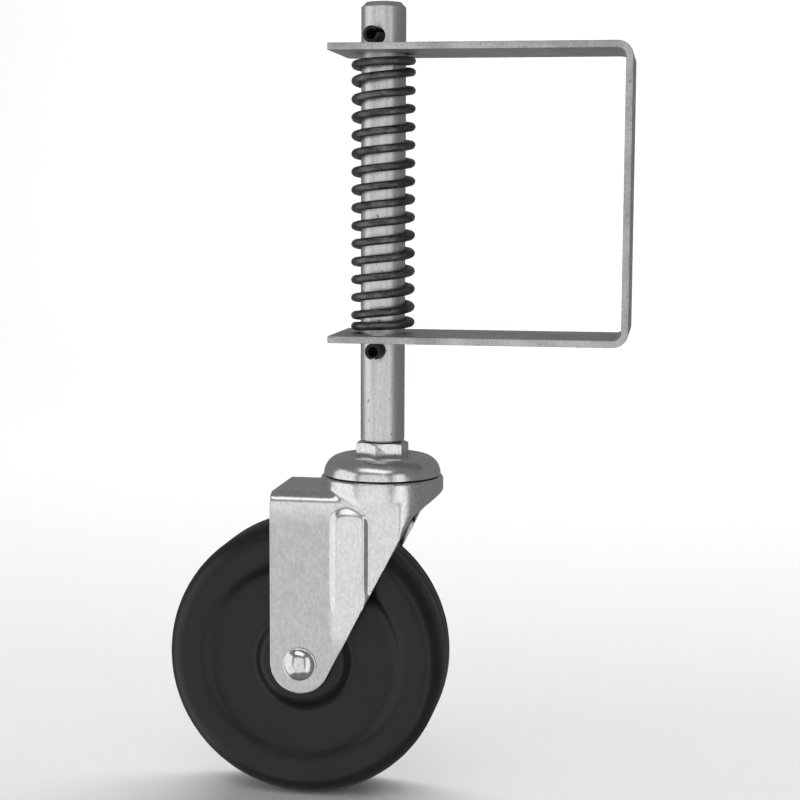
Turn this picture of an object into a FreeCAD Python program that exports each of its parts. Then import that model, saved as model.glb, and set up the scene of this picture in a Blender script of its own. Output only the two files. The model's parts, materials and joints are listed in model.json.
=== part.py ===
"""Spring-loaded gate wheel: a swivel caster on a sprung rod in a bent-bar bracket.

Millimetres, +Z up. The origin is the centre of the back plate's outer face, which is
bolted to the gate. +X points out of that face, and the wheel trails towards -X.
Every size is a cell of the sheet, and every sketch and primitive is bound to it.
"""
import FreeCAD
import Part
import math
import os
import Sketcher

Vector = FreeCAD.Vector
doc = FreeCAD.newDocument("gate_wheel")
sheet = doc.addObject("Spreadsheet::Sheet", "Sizes")

# ---------------------------------------------------------------- driving sizes
SIZES = [
    # the bent flat bar
    ("bar_width", 40.0, "flat bar, width"),
    ("bar_thick", 2.5, "flat bar, thickness"),
    ("bracket_height", 104.0, "over the two arms"),
    ("arm_end", 16.5, "rod's axis to the arms' free ends"),
    ("bend_inside", 2.8, "inside radius of the two bends"),
    ("stem_offset", 88.5, "plate's outer face to the rod's axis"),
    ("bolt_bore", 9.0, "mounting holes, for M8 bolts"),
    ("bolt_spacing", 64.0, "between the two mounting holes"),
    # the sliding rod and its pins
    ("rod_diameter", 16.0, "sliding rod"),
    ("rod_above", 15.4, "rod standing above the upper arm"),
    ("rod_below", 36.7, "rod hanging below the lower arm"),
    ("rod_chamfer", 1.8, "chamfer on the rod's top"),
    ("rod_edge", 0.6, "chamfer on the rod's lower end"),
    ("rod_play", 0.3, "rod to arm hole, on the radius"),
    ("pin_diameter", 6.0, "slotted spring pin"),
    ("pin_wall", 1.2, "wall of the rolled pin"),
    ("pin_slit", 1.6, "slit along the pin"),
    ("upper_slit_turn", 60.0, "degrees from straight up to the upper pin's slit"),
    ("lower_slit_turn", 180.0, "degrees from straight up to the lower pin's slit"),
    ("pin_length", 28.0, "slotted spring pin"),
    ("pin_gap", 0.3, "pin to arm face, at rest"),
    ("pin_slot_play", 0.6, "pin to the slot in the lower arm, all round"),
    ("upper_pin_turn", 9.0, "degrees from straight ahead, upper pin"),
    ("lower_pin_turn", 5.0, "degrees from straight ahead, lower pin"),
    # the compression spring
    ("spring_wire", 3.0, "wire diameter"),
    ("spring_play", 0.5, "rod to spring, on the radius"),
    ("active_turns", 14.0, "turns between the two closed end turns"),
    ("end_pitch", 3.12, "pitch of a closed end turn"),
    ("spring_gap", 0.05, "end turn to arm face"),
    # the threaded stem of the caster
    ("hex_flats", 17.0, "across the flats"),
    ("hex_height", 6.2, "hexagon"),
    ("hex_turn", 24.0, "degrees that the hexagon is turned"),
    ("rod_seat_gap", 0.3, "rod to hexagon"),
    ("thread_diameter", 10.0, "thread in the rod"),
    ("thread_length", 22.0, "thread engaged in the rod"),
    ("thread_chamfer", 1.0, "lead on the thread's end"),
    ("thread_run_out", 3.0, "empty end of the tapped hole"),
    ("kingpin_diameter", 10.0, "plain shank under the hexagon"),
    # the swivel head
    ("cap_sheet", 2.2, "pressed cap, sheet"),
    ("cap_dish", 1.3, "depth of the dish round the hexagon"),
    ("dish_room", 0.7, "hexagon's corners to the edge of the dish's flat"),
    ("cap_gap", 0.45, "cap's rim to the fork's ring"),
    ("cap_skirt", 0.1, "straight lip under the rolled rim"),
    ("ball_diameter", 5.0, "balls of both races"),
    ("ball_play", 0.05, "ball to race"),
    ("ball_space", 0.6, "least gap between neighbouring balls"),
    ("lower_ring_radius", 11.5, "pitch radius of the lower balls"),
    ("shank_play", 0.05, "cap and cup to the shank, on the radius"),
    ("cup_sheet", 2.0, "lower race cup, sheet"),
    ("cup_room", 0.4, "lower balls to the edge of the cup's floor"),
    ("cup_flare", 2.8, "how far the cup's wall leans outwards"),
    ("cup_wall", 3.2, "lower cup, height of the wall inside"),
    ("washer_thick", 1.5, "washer under the rivet end"),
    ("washer_radius", 9.0, "washer under the rivet end"),
    ("rivet_end_radius", 7.0, "spread end of the kingpin"),
    ("rivet_end_height", 2.0, "spread end of the kingpin"),
    # the fork
    ("fork_sheet", 2.5, "fork, sheet"),
    ("fork_bend", 5.0, "outside radius where the legs fold down"),
    ("race_step", 1.05, "cap's outside to the outside of the fork's raised ring"),
    ("race_rise", 4.5, "ring's top above the fork's top plate"),
    ("race_edge", 1.2, "rounding of the ring's upper edge"),
    ("race_wall", 5.6, "straight wall of the ring"),
    ("race_blend", 9.2, "length over which the ring runs out into the legs"),
    ("race_play", 1.6, "kingpin to the fork's hole, on the radius"),
    ("fork_front", 17.5, "kingpin axis to the front of the folded sheet"),
    ("fork_nose", 13.4, "kingpin axis to the top of the slanted edge"),
    ("fork_nose_drop", 8.6, "top plate to the top of the slanted edge"),
    ("leg_end_radius", 10.9, "rounded leg end round the axle"),
    # the wheel and what it turns on
    ("wheel_trail", 26.7, "kingpin axis to axle, sideways"),
    ("wheel_gap", 9.2, "fork's top plate to the wheel"),
    ("wheel_diameter", 101.6, "over the tread"),
    ("wheel_width", 31.8, "over the rim faces"),
    ("tread_flat", 16.0, "flat of the tread between the shoulders"),
    ("groove_depth", 0.8, "two shoulder grooves"),
    ("groove_width", 1.0, "two shoulder grooves"),
    ("rim_depth", 12.6, "tread to the outer edge of the dished face"),
    ("dish_slope", 5.2, "width of the slope into the dished face"),
    ("dish_depth", 3.4, "dished face"),
    ("boss_radius", 17.6, "hub boss"),
    ("boss_edge", 2.6, "rounding of the hub boss"),
    ("hub_proud", 0.6, "hub standing out of each rim face"),
    ("hub_play", 0.3, "hub to the washer beside it"),
    ("liner_wall", 1.0, "steel liner in the hub"),
    ("liner_length", 30.0, "steel liner in the hub"),
    ("sleeve_diameter", 12.0, "sleeve clamped between the legs"),
    ("axle_diameter", 8.0, "axle rivet"),
    ("axle_play", 0.1, "rivet to sleeve, on the radius"),
    ("head_diameter", 12.4, "domed head of the axle rivet"),
    ("head_height", 3.2, "domed head of the axle rivet"),
    ("peen_diameter", 11.0, "spread end of the axle rivet"),
    ("peen_height", 2.2, "spread end of the axle rivet"),
    ("peen_edge", 1.3, "chamfer on the spread end"),
    ("thrust_thick", 0.9, "washer between leg and hub"),
    ("thrust_radius", 10.5, "washer between leg and hub"),
    ("thrust_gap", 0.05, "washer to leg, and washer to sleeve"),
    ("roller_diameter", 2.9, "rollers in the hub"),
    ("roller_count", 10, "rollers in the hub"),
    ("roller_length", 19.0, "rollers in the hub"),
    ("roller_play", 0.05, "roller to sleeve and to liner"),
    ("cage_length", 26.0, "roller cage"),
    ("cage_play", 0.5, "cage to sleeve and to liner"),
    ("pocket_play", 0.15, "roller to the cage's pocket"),
]


class Size:
    """A length that knows both its value and the sheet expression that gives it."""

    def __init__(self, value, text):
        self.value = float(value)
        self.text = text

    @staticmethod
    def of(number):
        return number if isinstance(number, Size) else Size(number, repr(float(number)))

    def join(self, sign, other, value):
        return Size(value, "(%s %s %s)" % (self.text, sign, other.text))

    def __add__(self, other):
        other = Size.of(other)
        return self.join("+", other, self.value + other.value)

    def __sub__(self, other):
        other = Size.of(other)
        return self.join("-", other, self.value - other.value)

    def __mul__(self, other):
        other = Size.of(other)
        return self.join("*", other, self.value * other.value)

    def __truediv__(self, other):
        other = Size.of(other)
        return self.join("/", other, self.value / other.value)

    def __radd__(self, other):
        return Size.of(other) + self

    def __rsub__(self, other):
        return Size.of(other) - self

    def __rmul__(self, other):
        return Size.of(other) * self

    def __neg__(self):
        return Size.of(0) - self

    def least(self, other):
        other = Size.of(other)
        return Size(min(self.value, other.value), "min(%s; %s)" % (self.text, other.text))

    def root(self):
        return Size(math.sqrt(self.value), "sqrt(%s)" % self.text)

    def sine(self):
        return Size(math.sin(math.radians(self.value)), "sin(%s)" % self.text)

    def cosine(self):
        return Size(math.cos(math.radians(self.value)), "cos(%s)" % self.text)


def fill_sheet():
    """Write the driving sizes into the sheet and return them by name."""
    named = {}
    for row, (alias, value, meaning) in enumerate(SIZES, start=1):
        sheet.set("A%d" % row, repr(value))
        sheet.setAlias("A%d" % row, alias)
        sheet.set("B%d" % row, meaning)
    doc.recompute()
    for alias, value, meaning in SIZES:
        named[alias] = Size(sheet.get(alias), "Sizes.%s" % alias)
    return named


S = fill_sheet()

# ---------------------------------------------------------------- levels and places
half_height = S["bracket_height"] / 2
arm_inside = half_height - S["bar_thick"]
stem_x = -S["stem_offset"]
arm_reach = S["stem_offset"] + S["arm_end"]
rod_radius = S["rod_diameter"] / 2
coil_radius = rod_radius + S["spring_play"] + S["spring_wire"] / 2
rod_top = half_height + S["rod_above"]
rod_bottom = -(half_height + S["rod_below"])
pin_radius = S["pin_diameter"] / 2
pin_height = half_height + S["pin_gap"] + pin_radius
hex_top = rod_bottom - S["rod_seat_gap"]
hex_bottom = hex_top - S["hex_height"]
hex_corner = S["hex_flats"] / math.sqrt(3.0)
ball_radius = S["ball_diameter"] / 2
ball_room = S["ball_diameter"] + S["ball_play"] * 2
cap_bulge = S["cap_sheet"] + ball_room - S["cap_skirt"] - S["cap_gap"]
cap_rise = cap_bulge - S["cap_dish"]
cap_foot = (cap_bulge * cap_bulge - cap_rise * cap_rise).root()
crest_radius = hex_corner + S["dish_room"] + cap_foot
crest_top = hex_bottom + S["cap_dish"]
bulge_level = crest_top - cap_bulge
cap_rim = bulge_level - S["cap_skirt"]
crest_inside = crest_top - S["cap_sheet"]
upper_ball_level = crest_inside - ball_room / 2
race_top = crest_inside - ball_room
race_under = race_top - S["fork_sheet"]
race_radius = crest_radius + cap_bulge + S["race_step"]
lower_ball_level = race_under - ball_room / 2
cup_floor = race_under - ball_room
cup_floor_radius = S["lower_ring_radius"] + ball_radius + S["cup_room"]
cup_rim_radius = cup_floor_radius + S["cup_flare"]
cup_under = cup_floor - S["cup_sheet"]
washer_under = cup_under - S["washer_thick"]
rivet_under = washer_under - S["rivet_end_height"]
plate_top = race_top - S["race_rise"]
wheel_radius = S["wheel_diameter"] / 2
axle_z = plate_top - S["fork_sheet"] - S["wheel_gap"] - wheel_radius
axle_x = stem_x - S["wheel_trail"]
kingpin_radius = S["kingpin_diameter"] / 2
hub_half = S["wheel_width"] / 2 + S["hub_proud"]
leg_inside = hub_half + S["hub_play"] + S["thrust_thick"] + S["thrust_gap"]
fork_half = leg_inside + S["fork_sheet"]
sleeve_radius = S["sleeve_diameter"] / 2
roller_radius = S["roller_diameter"] / 2
roller_ring = sleeve_radius + S["roller_play"] + roller_radius
liner_inside = roller_ring + roller_radius + S["roller_play"]
liner_radius = liner_inside + S["liner_wall"]


# ---------------------------------------------------------------- drawing helpers
def bind(item, prop, size):
    """Set a property of a document object from the sheet."""
    item.setExpression(prop, Size.of(size).text)


def place(item, x=0, y=0, z=0, axis=None, turn=0):
    """Put an object at bound coordinates, turned about an axis by a bound angle."""
    if axis is not None:
        item.Placement = FreeCAD.Placement(Vector(), FreeCAD.Rotation(axis, Size.of(turn).value))
        item.setExpression("Placement.Rotation.Angle", Size.of(turn).text)
    for name, size in (("x", x), ("y", y), ("z", z)):
        item.setExpression("Placement.Base.%s" % name, Size.of(size).text)
    return item


def add(kind, name, **sizes):
    """Add a Part primitive whose sizes are bound to the sheet."""
    item = doc.addObject(kind, name)
    item.Label = name
    for prop, size in sizes.items():
        bind(item, prop, size)
    return item


def cylinder(name, radius, height, **spot):
    return place(add("Part::Cylinder", name, Radius=radius, Height=height), **spot)


def boolean(kind, name, base, tool):
    """Cut, fuse or intersect two objects, one feature for each pair."""
    item = doc.addObject(kind, name)
    item.Label = name
    if kind == "Part::MultiFuse" or kind == "Part::MultiCommon":
        item.Shapes = [base] + tool
    else:
        item.Base = base
        item.Tool = tool
    return item


def cut(name, base, *tools):
    if len(tools) == 1:
        return boolean("Part::Cut", name, base, tools[0])
    all_tools = boolean("Part::MultiFuse", name + "_tools", tools[0], list(tools[1:]))
    return boolean("Part::Cut", name, base, all_tools)


def fuse(name, first, *others):
    return boolean("Part::MultiFuse", name, first, list(others))


def arc_middle(start, end, radius, side):
    """The middle point of an arc of the given radius, bulging to one side of its chord."""
    chord = end - start
    half = chord.Length / 2
    rise = radius - math.sqrt(max(radius * radius - half * half, 0.0))
    normal = Vector(-chord.y, chord.x, 0).normalize()
    return (start + end) * 0.5 + normal * rise * side


def draw(body, name, role, outline):
    """Draw a closed outline in a body's origin plane, every corner bound to the sheet.

    A corner is (across, up), or (across, up, radius, side) where an arc of that radius
    leads from it to the next corner, bulging to the left (1) or right (-1) of its chord.
    """
    sketch = body.newObject("Sketcher::SketchObject", name)
    plane = [feature for feature in body.Origin.OriginFeatures if feature.Role == role][0]
    sketch.AttachmentSupport = [(plane, "")]
    sketch.MapMode = "FlatFace"
    corners = [(Size.of(corner[0]), Size.of(corner[1])) for corner in outline]
    points = [Vector(across.value, up.value, 0) for across, up in corners]
    edges = []
    for number, corner in enumerate(outline):
        start = points[number]
        end = points[(number + 1) % len(points)]
        if len(corner) == 2:
            edges.append((sketch.addGeometry(Part.LineSegment(start, end), False), 1, 2))
            continue
        radius = Size.of(corner[2])
        arc = Part.Arc(start, arc_middle(start, end, radius.value, corner[3]), end)
        index = sketch.addGeometry(arc, False)
        first = 1 if arc.toShape().Curve.Axis.z > 0 else 2
        edges.append((index, first, 3 - first))
        made = sketch.addConstraint(Sketcher.Constraint("Radius", index, radius.value))
        sketch.setExpression("Constraints[%d]" % made, radius.text)
    for number, (index, first, last) in enumerate(edges):
        after = edges[(number + 1) % len(edges)]
        sketch.addConstraint(Sketcher.Constraint("Coincident", index, last, after[0], after[1]))
        for kind, size in (("DistanceX", corners[number][0]), ("DistanceY", corners[number][1])):
            made = sketch.addConstraint(Sketcher.Constraint(kind, -1, 1, index, first, size.value))
            sketch.setExpression("Constraints[%d]" % made, size.text)
    return sketch


def turned(name, outline, **spot):
    """A body turned about its own Z axis from an outline of (radius, height) corners."""
    body = doc.addObject("PartDesign::Body", name)
    body.Label = name
    sketch = draw(body, name + "_outline", "XZ_Plane", outline)
    revolution = body.newObject("PartDesign::Revolution", name + "_turning")
    revolution.Profile = sketch
    revolution.ReferenceAxis = (sketch, ["V_Axis"])
    revolution.Angle = 360
    return place(body, **spot)


def pressed(name, role, outline, width):
    """A body padded both ways from an outline in one of its origin planes."""
    body = doc.addObject("PartDesign::Body", name)
    body.Label = name
    sketch = draw(body, name + "_outline", role, outline)
    pad = body.newObject("PartDesign::Pad", name + "_pad")
    pad.Profile = sketch
    pad.SideType = "Symmetric"
    bind(pad, "Length", width)
    return body


def ring_points(count, radius):
    """Evenly spaced points on a circle about the Z axis."""
    turns = [math.tau * number / count for number in range(count)]
    return [Vector(math.cos(turn), math.sin(turn), 0) * radius for turn in turns]


# ---------------------------------------------------------------- bracket and spring
def make_bracket():
    """A flat bar bent into a U: back plate, two arms, holes for the rod and the bolts."""
    outer_bend = S["bend_inside"] + S["bar_thick"]
    outline = [
        (-arm_reach, half_height),
        (-outer_bend, half_height, outer_bend, 1),
        (0, half_height - outer_bend),
        (0, outer_bend - half_height, outer_bend, 1),
        (-outer_bend, -half_height),
        (-arm_reach, -half_height),
        (-arm_reach, -arm_inside),
        (-outer_bend, -arm_inside, S["bend_inside"], -1),
        (-S["bar_thick"], outer_bend - half_height),
        (-S["bar_thick"], half_height - outer_bend, S["bend_inside"], -1),
        (-outer_bend, arm_inside),
        (-arm_reach, arm_inside),
    ]
    bar = pressed("bent_bar", "XZ_Plane", outline, S["bar_width"])
    hole_radius = rod_radius + S["rod_play"]
    rod_hole = cylinder("rod_holes", hole_radius, S["bracket_height"] * 2,
                        x=stem_x, z=-S["bracket_height"])
    tools = [rod_hole, pin_slot()]
    for name, side in (("upper_bolt_hole", 0.5), ("lower_bolt_hole", -0.5)):
        tools.append(cylinder(name, S["bolt_bore"] / 2, S["bar_thick"] * 3,
                              x=S["bar_thick"] * -2, z=S["bolt_spacing"] * side,
                              axis=Vector(0, 1, 0), turn=90))
    return cut("mounting_bracket", bar, *tools)


def pin_slot():
    """The slot in the lower arm that lets the lower pin rise and push the spring up."""
    width = S["pin_diameter"] + S["pin_slot_play"] * 2
    length = S["pin_length"] + S["pin_slot_play"] * 2
    slot = add("Part::Box", "pin_slot", Length=width, Width=length, Height=S["bar_thick"] * 3)
    turn = -S["lower_pin_turn"]
    x = stem_x - turn.cosine() * width / 2 + turn.sine() * length / 2
    y = -(turn.sine() * width / 2) - turn.cosine() * length / 2
    return place(slot, x=x, y=y, z=-(half_height + S["bar_thick"]), axis=Vector(0, 0, 1), turn=turn)


def helix_stretch(pitch, turns, radius, level, start_turns):
    """One stretch of helix that carries on where the one before it ended."""
    stretch = Part.makeHelix(pitch, pitch * turns, radius)
    stretch.rotate(Vector(), Vector(0, 0, 1), 360.0 * start_turns)
    stretch.translate(Vector(0, 0, level))
    return stretch.Edges


def make_spring():
    """Round wire wound with a closed turn at each end, between the two arms."""
    wire_radius = S["spring_wire"].value / 2
    coil = coil_radius.value
    low = -arm_inside.value + S["spring_gap"].value + wire_radius
    end_pitch = S["end_pitch"].value
    turns = S["active_turns"].value
    pitch = (-2 * low - 2 * end_pitch) / turns
    edges = helix_stretch(end_pitch, 1, coil, low, 0)
    edges += helix_stretch(pitch, turns, coil, low + end_pitch, 1)
    edges += helix_stretch(end_pitch, 1, coil, low + end_pitch + pitch * turns, 1 + turns)
    path = Part.Wire(Part.sortEdges(edges)[0])
    start = path.OrderedVertexes[0].Point
    tangent = Vector(0, coil, end_pitch / math.tau)
    circle = Part.Wire(Part.makeCircle(wire_radius, start, tangent))
    spring = doc.addObject("Part::Feature", "compression_spring")
    spring.Label = "compression_spring"
    spring.Shape = path.makePipeShell([circle], True, True)
    spring.Placement = FreeCAD.Placement(Vector(stem_x.value, 0, 0), FreeCAD.Rotation())
    return spring


# ---------------------------------------------------------------- the sliding rod
def make_rod():
    """The rod: chamfered ends, a tapped hole below and a cross hole for each pin."""
    bore = S["thread_diameter"] / 2
    bore_top = rod_bottom + S["thread_length"] + S["thread_run_out"]
    outline = [
        (0, bore_top),
        (bore, bore_top),
        (bore, rod_bottom),
        (rod_radius - S["rod_edge"], rod_bottom),
        (rod_radius, rod_bottom + S["rod_edge"]),
        (rod_radius, rod_top - S["rod_chamfer"]),
        (rod_radius - S["rod_chamfer"], rod_top),
        (0, rod_top),
    ]
    blank = turned("rod_blank", outline, x=stem_x)
    upper = pin_blank("upper_pin_hole", pin_radius, S["rod_diameter"] * 2, pin_height, "upper")
    lower = pin_blank("lower_pin_hole", pin_radius, S["rod_diameter"] * 2, -pin_height, "lower")
    return cut("stem_rod", blank, upper, lower)


def pin_blank(name, radius, length, level, which):
    """A cylinder through the rod's axis, lying at the pin's turn from straight ahead."""
    turn = S[which + "_pin_turn"]
    item = add("Part::Cylinder", name, Radius=radius, Height=length)
    heading = FreeCAD.Rotation(Vector(0, 0, 1), -turn.value)
    item.Placement = FreeCAD.Placement(Vector(), heading * FreeCAD.Rotation(Vector(1, 0, 0), 90))
    item.setExpression("Placement.Rotation.Yaw", (-turn).text)
    item.setExpression("Placement.Base.x", (stem_x - turn.sine() * -length / 2).text)
    item.setExpression("Placement.Base.y", (turn.cosine() * length / 2).text)
    item.setExpression("Placement.Base.z", Size.of(level).text)
    return item


def make_pin(which, level):
    """A rolled spring pin: a tube with a slit along its whole length."""
    name = which + "_roll_pin"
    past_ends = S["pin_length"] + S["pin_diameter"] * 2
    outside = pin_blank(name + "_outside", pin_radius, S["pin_length"], level, which)
    inside = pin_blank(name + "_inside", pin_radius - S["pin_wall"], past_ends, level, which)
    slit = add("Part::Box", name + "_slit", Length=S["pin_slit"], Width=past_ends,
               Height=S["pin_diameter"])
    heading = FreeCAD.Rotation(Vector(0, 0, 1), -S[which + "_pin_turn"].value)
    roll = FreeCAD.Rotation(Vector(0, 1, 0), S[which + "_slit_turn"].value)
    reach = Vector(-S["pin_slit"].value / 2, -past_ends.value / 2, 0)
    spin = heading * roll
    spot = Vector(stem_x.value, 0, Size.of(level).value) + spin.multVec(reach)
    slit.Placement = FreeCAD.Placement(spot, spin)
    return cut(name, outside, inside, slit)


def make_stem():
    """The caster's stem: thread, hexagon, plain kingpin and spread end in one piece."""
    thread_end = rod_bottom + S["thread_length"]
    shank = turned("stem_shank", [
        (0, rivet_under),
        (S["rivet_end_radius"] - S["rivet_end_height"] / 2, rivet_under),
        (S["rivet_end_radius"], washer_under - S["rivet_end_height"] / 2),
        (S["rivet_end_radius"], washer_under),
        (kingpin_radius, washer_under),
        (kingpin_radius, hex_bottom),
        (S["thread_diameter"] / 2, hex_top),
        (S["thread_diameter"] / 2, thread_end - S["thread_chamfer"]),
        (S["thread_diameter"] / 2 - S["thread_chamfer"], thread_end),
        (0, thread_end),
    ], x=stem_x)
    blank = add("Part::Prism", "hexagon_blank", Circumradius=hex_corner, Height=S["hex_height"])
    place(blank, x=stem_x, z=hex_bottom, axis=Vector(0, 0, 1), turn=S["hex_turn"])
    shoulder = S["hex_flats"] / 2
    bevel = hex_corner - shoulder
    facing = turned("hexagon_facing", [
        (0, hex_bottom),
        (hex_corner, hex_bottom),
        (hex_corner, hex_top - bevel / 2),
        (shoulder, hex_top),
        (0, hex_top),
    ], x=stem_x)
    hexagon = boolean("Part::Common", "hexagon", blank, facing)
    return fuse("threaded_stem", shank, hexagon)


# ---------------------------------------------------------------- the swivel head
def make_cap():
    """The pressed cap: dished round the hexagon, rolled down to a rim over the balls."""
    inner = cap_bulge - S["cap_sheet"]
    rise_in = cap_rise - S["cap_sheet"]
    foot_in = (inner * inner - rise_in * rise_in).root()
    hole = kingpin_radius + S["shank_play"]
    return turned("swivel_cap", [
        (hole, hex_bottom),
        (crest_radius - cap_foot, hex_bottom, cap_bulge, 1),
        (crest_radius, crest_top, cap_bulge, 1),
        (crest_radius + cap_bulge, bulge_level),
        (crest_radius + cap_bulge, cap_rim),
        (crest_radius + inner, cap_rim),
        (crest_radius + inner, bulge_level, inner, -1),
        (crest_radius, crest_inside, inner, -1),
        (crest_radius - foot_in, hex_bottom - S["cap_sheet"]),
        (hole, hex_bottom - S["cap_sheet"]),
    ], x=stem_x)


def make_cup():
    """The lower race: a dished cup under the fork's ring that carries the lower balls."""
    hole = kingpin_radius + S["shank_play"]
    thick = S["cup_sheet"]
    return turned("lower_race_cup", [
        (hole, cup_under),
        (cup_floor_radius + thick / 2, cup_under),
        (cup_rim_radius + thick / 2, cup_under + S["cup_wall"] + thick / 2),
        (cup_rim_radius + thick / 2, cup_floor + S["cup_wall"]),
        (cup_rim_radius, cup_floor + S["cup_wall"]),
        (cup_floor_radius, cup_floor),
        (hole, cup_floor),
    ], x=stem_x)


def make_kingpin_washer():
    hole = kingpin_radius + S["shank_play"]
    return turned("kingpin_washer", [
        (hole, washer_under),
        (S["washer_radius"], washer_under),
        (S["washer_radius"], cup_under),
        (hole, cup_under),
    ], x=stem_x)


def make_balls(name, ring_radius, level):
    """A ring of as many loose balls as fit, kept in one node as separate solids."""
    pitch = (S["ball_diameter"] + S["ball_space"]).value
    count = int(math.tau * ring_radius.value / pitch)
    centres = ring_points(count, ring_radius.value)
    balls = [Part.makeSphere(ball_radius.value, centre) for centre in centres]
    ring = doc.addObject("Part::Feature", name)
    ring.Label = name
    ring.Shape = Part.makeCompound(balls)
    ring.Placement = FreeCAD.Placement(Vector(stem_x.value, 0, level.value), FreeCAD.Rotation())
    return ring


# ---------------------------------------------------------------- the fork
def fork_section(name, half, top, bend):
    """Cross-section of the folded sheet, solid, with its two upper corners rounded."""
    foot = axle_z - S["leg_end_radius"] - S["fork_sheet"]
    outline = [
        (-half, foot),
        (-half, top - bend, bend, 1),
        (bend - half, top),
        (half - bend, top, bend, 1),
        (half, top - bend),
        (half, foot),
    ]
    length = S["fork_front"] + S["wheel_trail"] + S["leg_end_radius"] + S["fork_sheet"]
    body = pressed(name, "YZ_Plane", outline, length)
    return place(body, x=stem_x + S["fork_front"] - length / 2)


def fork_channel(name, half, top, bend, front_radius):
    """The folded sheet as a solid, wrapped round the kingpin at its front."""
    section = fork_section(name + "_section", half, top, bend)
    reach = S["wheel_trail"] + S["leg_end_radius"] + S["fork_sheet"]
    foot = axle_z - S["leg_end_radius"] - S["fork_sheet"]
    rear = add("Part::Box", name + "_rear", Length=reach, Width=half * 3, Height=race_top - foot)
    place(rear, x=stem_x - reach, y=half * -1.5, z=foot)
    front = cylinder(name + "_front", front_radius, race_top - foot, x=stem_x, z=foot)
    plan = fuse(name + "_plan", rear, front)
    return boolean("Part::Common", name, section, plan)


def ring_solid(name, radius, top, edge):
    """The raised ring as a solid that runs out into the legs below its straight wall."""
    wall_foot = race_top - S["race_wall"]
    flush_with_legs = radius - (race_radius - fork_half)
    run_out = flush_with_legs.least(radius - S["race_edge"])
    blend_foot = wall_foot - S["race_blend"]
    return turned(name, [
        (0, blend_foot),
        (run_out, blend_foot),
        (radius, wall_foot),
        (radius, top - edge, edge, -1),
        (radius - edge, top),
        (0, top),
    ], x=stem_x)


def make_fork():
    """Pressed fork: top plate with a raised ball race, and two legs folded down."""
    sheet_thick = S["fork_sheet"]
    inside_bend = S["fork_bend"] - sheet_thick
    outside = fuse("fork_outside",
                   fork_channel("fork_outside_channel", fork_half, plate_top, S["fork_bend"],
                                race_radius),
                   ring_solid("fork_outside_ring", race_radius, race_top, S["race_edge"]))
    inside = fuse("fork_inside",
                  fork_channel("fork_inside_channel", leg_inside, plate_top - sheet_thick,
                               inside_bend, race_radius - sheet_thick),
                  ring_solid("fork_inside_ring", race_radius - sheet_thick, race_under,
                             S["race_edge"] / 2))
    shell = cut("fork_shell", outside, inside)
    side = pressed("fork_side_outline", "XZ_Plane", fork_outline(), (race_radius + fork_half) * 2)
    trimmed = boolean("Part::Common", "fork_trimmed", shell, side)
    bore = cylinder("fork_race_bore", kingpin_radius + S["race_play"], S["fork_sheet"] * 3,
                    x=stem_x, z=race_under - S["fork_sheet"])
    axle_hole = cylinder("fork_axle_holes", S["axle_diameter"] / 2, fork_half * 4,
                         x=axle_x, y=fork_half * 2, z=axle_z, axis=Vector(1, 0, 0), turn=90)
    return cut("fork", trimmed, bore, axle_hole)


def fork_outline():
    """The fork seen from the side: straight rear edge, round foot, slanted front edge."""
    nose_x = stem_x + S["fork_nose"]
    nose_z = plate_top - S["fork_nose_drop"]
    radius = S["leg_end_radius"]
    across = nose_x - axle_x
    up = nose_z - axle_z
    far_square = across * across + up * up
    # the slanted edge is tangent to the round foot, on the side towards the kingpin
    reach = (far_square - radius * radius).root()
    touch_x = axle_x + (radius * across + reach * up) * radius / far_square
    touch_z = axle_z + (radius * up - reach * across) * radius / far_square
    tail_x = axle_x - radius
    wall_foot = race_top - S["race_wall"]
    brow_x = stem_x + race_radius
    clear = S["fork_sheet"]
    return [
        (tail_x, race_top + clear),
        (tail_x, axle_z, radius, -1),
        (axle_x, axle_z - radius, radius, -1),
        (touch_x, touch_z),
        (nose_x, nose_z),
        (brow_x, wall_foot),
        (brow_x + clear, wall_foot),
        (brow_x + clear, race_top + clear),
    ]


# ---------------------------------------------------------------- axle and wheel
ACROSS = {"axis": Vector(1, 0, 0), "turn": 90}


def at_axle(name, outline):
    """A turned piece whose own axis lies along the axle, its +Z towards -Y."""
    return turned(name, outline, x=axle_x, z=axle_z, **ACROSS)


def make_rivet():
    """The axle: domed head on the near side, plain shank, spread end on the far side."""
    shank = S["axle_diameter"] / 2
    head = S["head_diameter"] / 2
    rise = S["head_height"]
    dome = (head * head + rise * rise) / (rise * 2)
    peen = S["peen_diameter"] / 2
    return at_axle("axle_rivet", [
        (0, -(fork_half + S["peen_height"])),
        (peen - S["peen_edge"], -(fork_half + S["peen_height"])),
        (peen, S["peen_edge"] - fork_half - S["peen_height"]),
        (peen, -fork_half),
        (shank, -fork_half),
        (shank, fork_half),
        (head, fork_half, dome, -1),
        (0, fork_half + rise),
    ])


def make_sleeve():
    bore = S["axle_diameter"] / 2 + S["axle_play"]
    return at_axle("axle_sleeve", [
        (bore, -leg_inside), (sleeve_radius, -leg_inside),
        (sleeve_radius, leg_inside), (bore, leg_inside),
    ])


def make_thrust_washer(which, side):
    """A washer on the sleeve between one leg and the hub."""
    bore = sleeve_radius + S["thrust_gap"]
    outer = leg_inside - S["thrust_gap"]
    inner = outer - S["thrust_thick"]
    return at_axle(which + "_thrust_washer", [
        (bore, inner * side), (S["thrust_radius"], inner * side),
        (S["thrust_radius"], outer * side), (bore, outer * side),
    ])


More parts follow.
